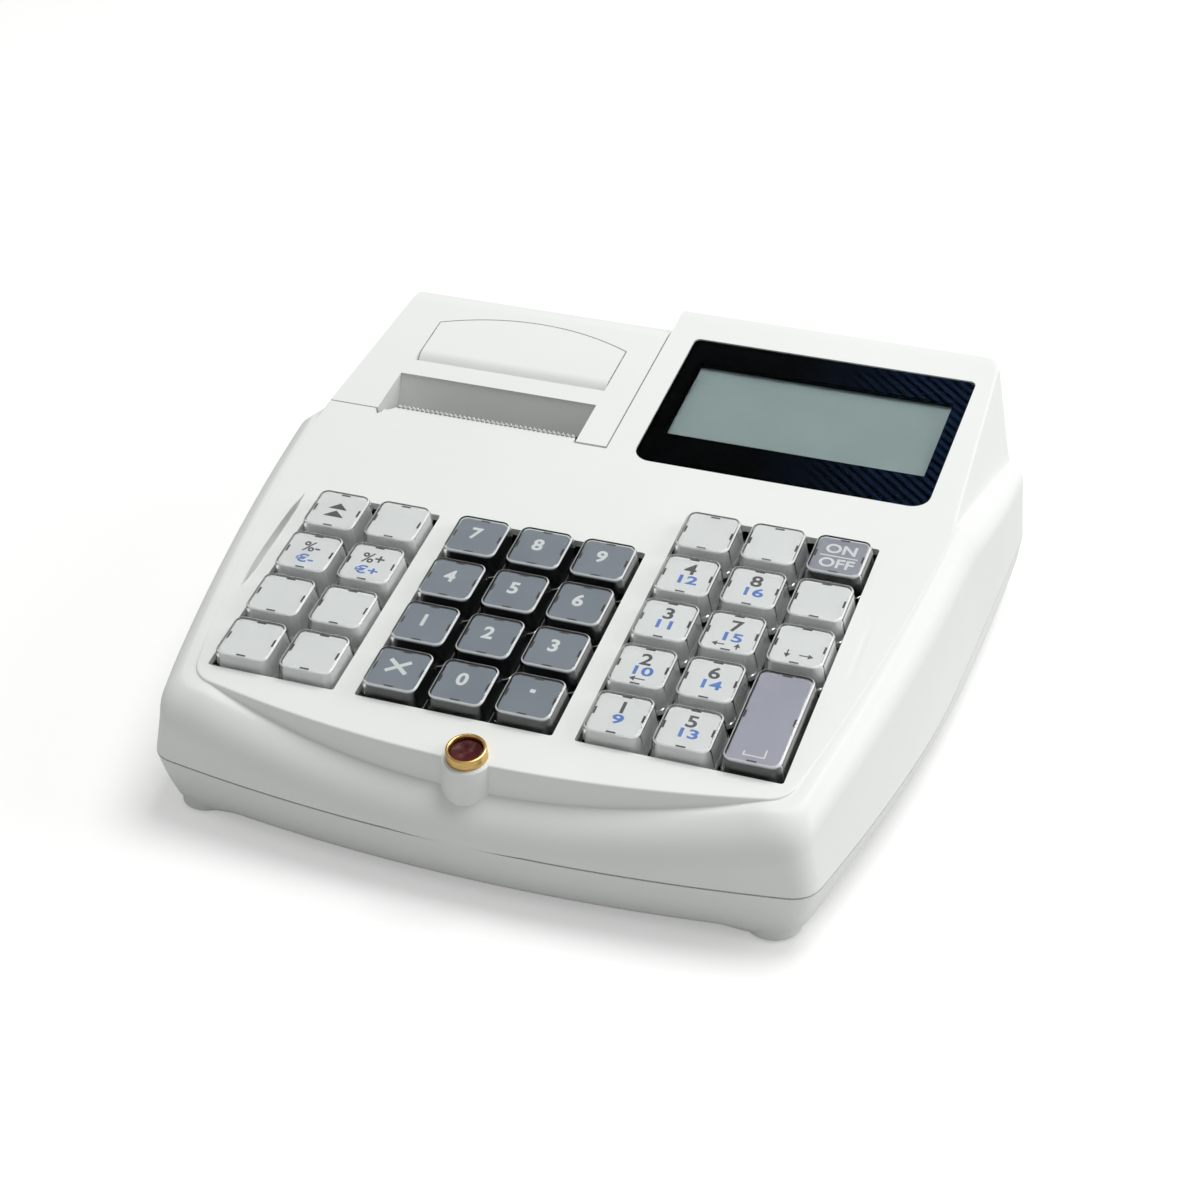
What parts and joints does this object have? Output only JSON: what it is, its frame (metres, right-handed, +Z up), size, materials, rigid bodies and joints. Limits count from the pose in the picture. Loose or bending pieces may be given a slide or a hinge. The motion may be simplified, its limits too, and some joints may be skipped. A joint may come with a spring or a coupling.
{
  "type": "ticket register",
  "caption": "Counter ticket register with a sloping keyboard deck, an operator display, a drop-in receipt printer under a hinged cover and a wax fiscal seal",
  "frame": {"origin": "Middle of the footprint in plan, on the plane that the four rubber feet stand on", "axes": "+X to the operator's right, +Y to the rear, +Z up; the keyboard edge faces -Y"},
  "size_m": [0.214, 0.212, 0.0757],
  "materials": {
    "case_plastic": "satin",
    "foot_rubber": "matte",
    "screw_steel": "satin",
    "bar_steel": "satin",
    "black_window": "gloss",
    "display_glass": "gloss",
    "black_plate": "matte",
    "black_plastic": "satin",
    "board": "satin",
    "platen_rubber": "matte",
    "gear_plastic": "satin",
    "pinion_brass": "satin",
    "paper": "matte",
    "seal_brass": "gloss",
    "wax": "satin",
    "white_cap": "gloss",
    "slate_cap": "gloss",
    "lilac_cap": "gloss",
    "grey_cap": "gloss"
  },
  "bodies": {
    "case": {"upper_case": "case_plastic", "lower_case": "case_plastic", "rubber_feet": "foot_rubber", "case_screws": "screw_steel", "tear_bar": "bar_steel", "display_window": "black_window", "display_module": "display_glass", "customer_window": "black_window", "customer_module": "display_glass", "key_plate": "black_plate", "key_switches": "black_plastic", "keyboard_board": "board", "main_board": "board", "rear_sockets": "black_plastic", "printer_frame": "bar_steel", "print_head": "black_plate", "feed_motor": "bar_steel", "seal_cup": "seal_brass", "seal_wax": "wax"},
    "cover": {"printer_cover": "case_plastic"},
    "latch": {"cover_latch": "case_plastic"},
    "platen": {"platen_roller": "platen_rubber", "platen_gear": "gear_plastic"},
    "idler": {"idler_gear": "gear_plastic"},
    "pinion": {"motor_pinion": "pinion_brass"},
    "roll": {"paper_roll": "paper"},
    "function_key_1": {"function_key_1": "white_cap"},
    "function_key_2": {"function_key_2": "white_cap"},
    "function_key_3": {"function_key_3": "white_cap"},
    "function_key_4": {"function_key_4": "white_cap"},
    "function_key_5": {"function_key_5": "white_cap"},
    "function_key_6": {"function_key_6": "white_cap"},
    "function_key_7": {"function_key_7": "white_cap"},
    "function_key_8": {"function_key_8": "white_cap"},
    "digit_7_key": {"digit_7_key": "slate_cap"},
    "digit_8_key": {"digit_8_key": "slate_cap"},
    "digit_9_key": {"digit_9_key": "slate_cap"},
    "digit_4_key": {"digit_4_key": "slate_cap"},
    "digit_5_key": {"digit_5_key": "slate_cap"},
    "digit_6_key": {"digit_6_key": "slate_cap"},
    "digit_1_key": {"digit_1_key": "slate_cap"},
    "digit_2_key": {"digit_2_key": "slate_cap"},
    "digit_3_key": {"digit_3_key": "slate_cap"},
    "times_key": {"times_key": "slate_cap"},
    "digit_0_key": {"digit_0_key": "slate_cap"},
    "point_key": {"point_key": "slate_cap"},
    "menu_key_1": {"menu_key_1": "white_cap"},
    "menu_key_2": {"menu_key_2": "white_cap"},
    "on_off_key": {"on_off_key": "grey_cap"},
    "group_key_1": {"group_key_1": "white_cap"},
    "group_key_2": {"group_key_2": "white_cap"},
    "side_key_1": {"side_key_1": "white_cap"},
    "group_key_3": {"group_key_3": "white_cap"},
    "group_key_4": {"group_key_4": "white_cap"},
    "side_key_2": {"side_key_2": "white_cap"},
    "group_key_5": {"group_key_5": "white_cap"},
    "group_key_6": {"group_key_6": "white_cap"},
    "group_key_7": {"group_key_7": "white_cap"},
    "group_key_8": {"group_key_8": "white_cap"},
    "cash_key": {"cash_key": "lilac_cap"}
  },
  "joints": [
    {"name": "cover_hinge", "type": "hinge", "parent": "case", "child": "cover", "pos_m": [-0.052, 0.1005, 0.0465], "axis": [-1, 0, 0], "range_deg": [0, 75]},
    {"name": "latch_pivot", "type": "hinge", "parent": "cover", "child": "latch", "pos_m": [-0.04985, 0.07813, 0.06856], "axis": [-1, 0, 0], "range_deg": [0, 10], "stiffness_Nm_per_rad": 0.05, "springref_deg": -5.73},
    {"name": "platen_turn", "type": "hinge", "parent": "case", "child": "platen", "pos_m": [-0.05, 0.0464, 0.04705], "axis": [-1, 0, 0], "continuous": true},
    {"name": "idler_turn", "type": "hinge", "parent": "case", "child": "idler", "pos_m": [-0.0179, 0.03112, 0.0383], "axis": [-1, 0, 0], "continuous": true},
    {"name": "pinion_turn", "type": "hinge", "parent": "case", "child": "pinion", "pos_m": [-0.022, 0.04, 0.028], "axis": [-1, 0, 0], "continuous": true},
    {"name": "roll_turn", "type": "hinge", "parent": "case", "child": "roll", "pos_m": [-0.05, 0.074, 0.035], "axis": [-1, 0, 0], "continuous": true},
    {"name": "function_key_1_press", "type": "slide", "parent": "case", "child": "function_key_1", "axis": [0, 0.1812, -0.9834], "range_m": [0, 0.003], "stiffness_N_per_m": 180, "springref_m": -0.002},
    {"name": "function_key_2_press", "type": "slide", "parent": "case", "child": "function_key_2", "axis": [0, 0.1812, -0.9834], "range_m": [0, 0.003], "stiffness_N_per_m": 180, "springref_m": -0.002},
    {"name": "function_key_3_press", "type": "slide", "parent": "case", "child": "function_key_3", "axis": [0, 0.1812, -0.9834], "range_m": [0, 0.003], "stiffness_N_per_m": 180, "springref_m": -0.002},
    {"name": "function_key_4_press", "type": "slide", "parent": "case", "child": "function_key_4", "axis": [0, 0.1812, -0.9834], "range_m": [0, 0.003], "stiffness_N_per_m": 180, "springref_m": -0.002},
    {"name": "function_key_5_press", "type": "slide", "parent": "case", "child": "function_key_5", "axis": [0, 0.1812, -0.9834], "range_m": [0, 0.003], "stiffness_N_per_m": 180, "springref_m": -0.002},
    {"name": "function_key_6_press", "type": "slide", "parent": "case", "child": "function_key_6", "axis": [0, 0.1812, -0.9834], "range_m": [0, 0.003], "stiffness_N_per_m": 180, "springref_m": -0.002},
    {"name": "function_key_7_press", "type": "slide", "parent": "case", "child": "function_key_7", "axis": [0, 0.1812, -0.9834], "range_m": [0, 0.003], "stiffness_N_per_m": 180, "springref_m": -0.002},
    {"name": "function_key_8_press", "type": "slide", "parent": "case", "child": "function_key_8", "axis": [0, 0.1812, -0.9834], "range_m": [0, 0.003], "stiffness_N_per_m": 180, "springref_m": -0.002},
    {"name": "digit_7_press", "type": "slide", "parent": "case", "child": "digit_7_key", "axis": [0, 0.1812, -0.9834], "range_m": [0, 0.003], "stiffness_N_per_m": 180, "springref_m": -0.002},
    {"name": "digit_8_press", "type": "slide", "parent": "case", "child": "digit_8_key", "axis": [0, 0.1812, -0.9834], "range_m": [0, 0.003], "stiffness_N_per_m": 180, "springref_m": -0.002},
    {"name": "digit_9_press", "type": "slide", "parent": "case", "child": "digit_9_key", "axis": [0, 0.1812, -0.9834], "range_m": [0, 0.003], "stiffness_N_per_m": 180, "springref_m": -0.002},
    {"name": "digit_4_press", "type": "slide", "parent": "case", "child": "digit_4_key", "axis": [0, 0.1812, -0.9834], "range_m": [0, 0.003], "stiffness_N_per_m": 180, "springref_m": -0.002},
    {"name": "digit_5_press", "type": "slide", "parent": "case", "child": "digit_5_key", "axis": [0, 0.1812, -0.9834], "range_m": [0, 0.003], "stiffness_N_per_m": 180, "springref_m": -0.002},
    {"name": "digit_6_press", "type": "slide", "parent": "case", "child": "digit_6_key", "axis": [0, 0.1812, -0.9834], "range_m": [0, 0.003], "stiffness_N_per_m": 180, "springref_m": -0.002},
    {"name": "digit_1_press", "type": "slide", "parent": "case", "child": "digit_1_key", "axis": [0, 0.1812, -0.9834], "range_m": [0, 0.003], "stiffness_N_per_m": 180, "springref_m": -0.002},
    {"name": "digit_2_press", "type": "slide", "parent": "case", "child": "digit_2_key", "axis": [0, 0.1812, -0.9834], "range_m": [0, 0.003], "stiffness_N_per_m": 180, "springref_m": -0.002},
    {"name": "digit_3_press", "type": "slide", "parent": "case", "child": "digit_3_key", "axis": [0, 0.1812, -0.9834], "range_m": [0, 0.003], "stiffness_N_per_m": 180, "springref_m": -0.002},
    {"name": "times_press", "type": "slide", "parent": "case", "child": "times_key", "axis": [0, 0.1812, -0.9834], "range_m": [0, 0.003], "stiffness_N_per_m": 180, "springref_m": -0.002},
    {"name": "digit_0_press", "type": "slide", "parent": "case", "child": "digit_0_key", "axis": [0, 0.1812, -0.9834], "range_m": [0, 0.003], "stiffness_N_per_m": 180, "springref_m": -0.002},
    {"name": "point_press", "type": "slide", "parent": "case", "child": "point_key", "axis": [0, 0.1812, -0.9834], "range_m": [0, 0.003], "stiffness_N_per_m": 180, "springref_m": -0.002},
    {"name": "menu_key_1_press", "type": "slide", "parent": "case", "child": "menu_key_1", "axis": [0, 0.1812, -0.9834], "range_m": [0, 0.003], "stiffness_N_per_m": 180, "springref_m": -0.002},
    {"name": "menu_key_2_press", "type": "slide", "parent": "case", "child": "menu_key_2", "axis": [0, 0.1812, -0.9834], "range_m": [0, 0.003], "stiffness_N_per_m": 180, "springref_m": -0.002},
    {"name": "on_off_press", "type": "slide", "parent": "case", "child": "on_off_key", "axis": [0, 0.1812, -0.9834], "range_m": [0, 0.003], "stiffness_N_per_m": 180, "springref_m": -0.002},
    {"name": "group_key_1_press", "type": "slide", "parent": "case", "child": "group_key_1", "axis": [0, 0.1812, -0.9834], "range_m": [0, 0.003], "stiffness_N_per_m": 180, "springref_m": -0.002},
    {"name": "group_key_2_press", "type": "slide", "parent": "case", "child": "group_key_2", "axis": [0, 0.1812, -0.9834], "range_m": [0, 0.003], "stiffness_N_per_m": 180, "springref_m": -0.002},
    {"name": "side_key_1_press", "type": "slide", "parent": "case", "child": "side_key_1", "axis": [0, 0.1812, -0.9834], "range_m": [0, 0.003], "stiffness_N_per_m": 180, "springref_m": -0.002},
    {"name": "group_key_3_press", "type": "slide", "parent": "case", "child": "group_key_3", "axis": [0, 0.1812, -0.9834], "range_m": [0, 0.003], "stiffness_N_per_m": 180, "springref_m": -0.002},
    {"name": "group_key_4_press", "type": "slide", "parent": "case", "child": "group_key_4", "axis": [0, 0.1812, -0.9834], "range_m": [0, 0.003], "stiffness_N_per_m": 180, "springref_m": -0.002},
    {"name": "side_key_2_press", "type": "slide", "parent": "case", "child": "side_key_2", "axis": [0, 0.1812, -0.9834], "range_m": [0, 0.003], "stiffness_N_per_m": 180, "springref_m": -0.002},
    {"name": "group_key_5_press", "type": "slide", "parent": "case", "child": "group_key_5", "axis": [0, 0.1812, -0.9834], "range_m": [0, 0.003], "stiffness_N_per_m": 180, "springref_m": -0.002},
    {"name": "group_key_6_press", "type": "slide", "parent": "case", "child": "group_key_6", "axis": [0, 0.1812, -0.9834], "range_m": [0, 0.003], "stiffness_N_per_m": 180, "springref_m": -0.002},
    {"name": "group_key_7_press", "type": "slide", "parent": "case", "child": "group_key_7", "axis": [0, 0.1812, -0.9834], "range_m": [0, 0.003], "stiffness_N_per_m": 180, "springref_m": -0.002},
    {"name": "group_key_8_press", "type": "slide", "parent": "case", "child": "group_key_8", "axis": [0, 0.1812, -0.9834], "range_m": [0, 0.003], "stiffness_N_per_m": 180, "springref_m": -0.002},
    {"name": "cash_press", "type": "slide", "parent": "case", "child": "cash_key", "axis": [0, 0.1812, -0.9834], "range_m": [0, 0.003], "stiffness_N_per_m": 180, "springref_m": -0.002}
  ],
  "couplings": [
    {"joint": "idler_turn", "follows": "platen_turn", "ratio": -0.83333},
    {"joint": "pinion_turn", "follows": "platen_turn", "ratio": 2},
    {"joint": "roll_turn", "follows": "platen_turn", "ratio": 0.2619}
  ]
}
